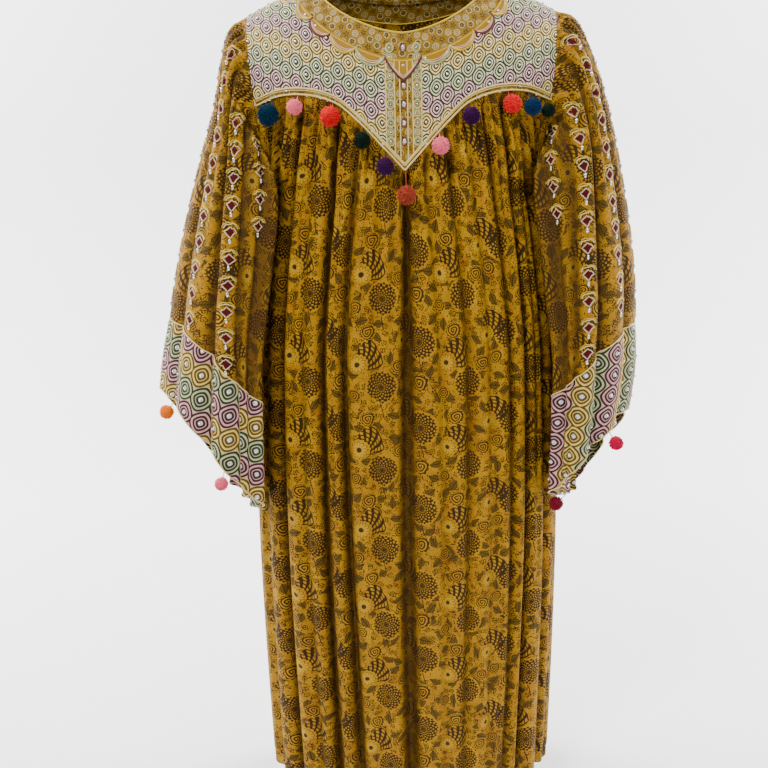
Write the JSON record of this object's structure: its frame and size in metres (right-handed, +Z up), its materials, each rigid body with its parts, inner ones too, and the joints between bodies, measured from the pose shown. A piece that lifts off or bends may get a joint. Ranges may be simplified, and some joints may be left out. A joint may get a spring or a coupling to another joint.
{
  "type": "long gathered dress",
  "caption": "Long gathered dress with a V-edged embroidered yoke, wide bell sleeves with embroidered cuffs and hanging pompoms, held open as worn.",
  "frame": {"origin": "midway between the two shoulder points, at their height, where the wearer's shoulders hold the dress", "axes": "+Z up along the wearer, the front faces -Y, +X to the wearer's left"},
  "size_m": [0.7316, 0.304, 1.2584],
  "materials": {
    "printed_cloth": "satin cotton",
    "cord_embroidery": "raised cord stitching",
    "gold_cloth": "satin cotton",
    "trim_cord": "raised cord stitching",
    "wool_teal": "matte",
    "wool_rose": "matte",
    "wool_red": "matte",
    "wool_green": "matte",
    "wool_purple": "matte",
    "wool_rust": "matte",
    "wool_blue": "matte",
    "wool_orange": "matte",
    "wool_crimson": "matte",
    "wool_maroon": "matte"
  },
  "bodies": {
    "root": {"body_front": "printed_cloth", "body_back": "printed_cloth", "sleeve_left": "printed_cloth", "sleeve_right": "printed_cloth", "yoke_back": "printed_cloth", "yoke_left": "cord_embroidery", "yoke_right": "cord_embroidery", "cuff_left": "cord_embroidery", "cuff_right": "cord_embroidery", "yoke_centre": "gold_cloth", "neck_band_front": "gold_cloth", "neck_band_back": "gold_cloth", "yoke_trim": "trim_cord", "pompom_1_teal": "wool_teal", "pompom_2_rose": "wool_rose", "pompom_3_red": "wool_red", "pompom_4_green": "wool_green", "pompom_5_purple": "wool_purple", "pompom_6_rust": "wool_rust", "pompom_7_rose": "wool_rose", "pompom_8_purple": "wool_purple", "pompom_9_red": "wool_red", "pompom_10_blue": "wool_blue", "pompom_11_green": "wool_green", "cuff_pompom_1_orange": "wool_orange", "cuff_pompom_2_rose": "wool_rose", "cuff_pompom_3_crimson": "wool_crimson", "cuff_pompom_4_maroon": "wool_maroon"}
  },
  "joints": []
}
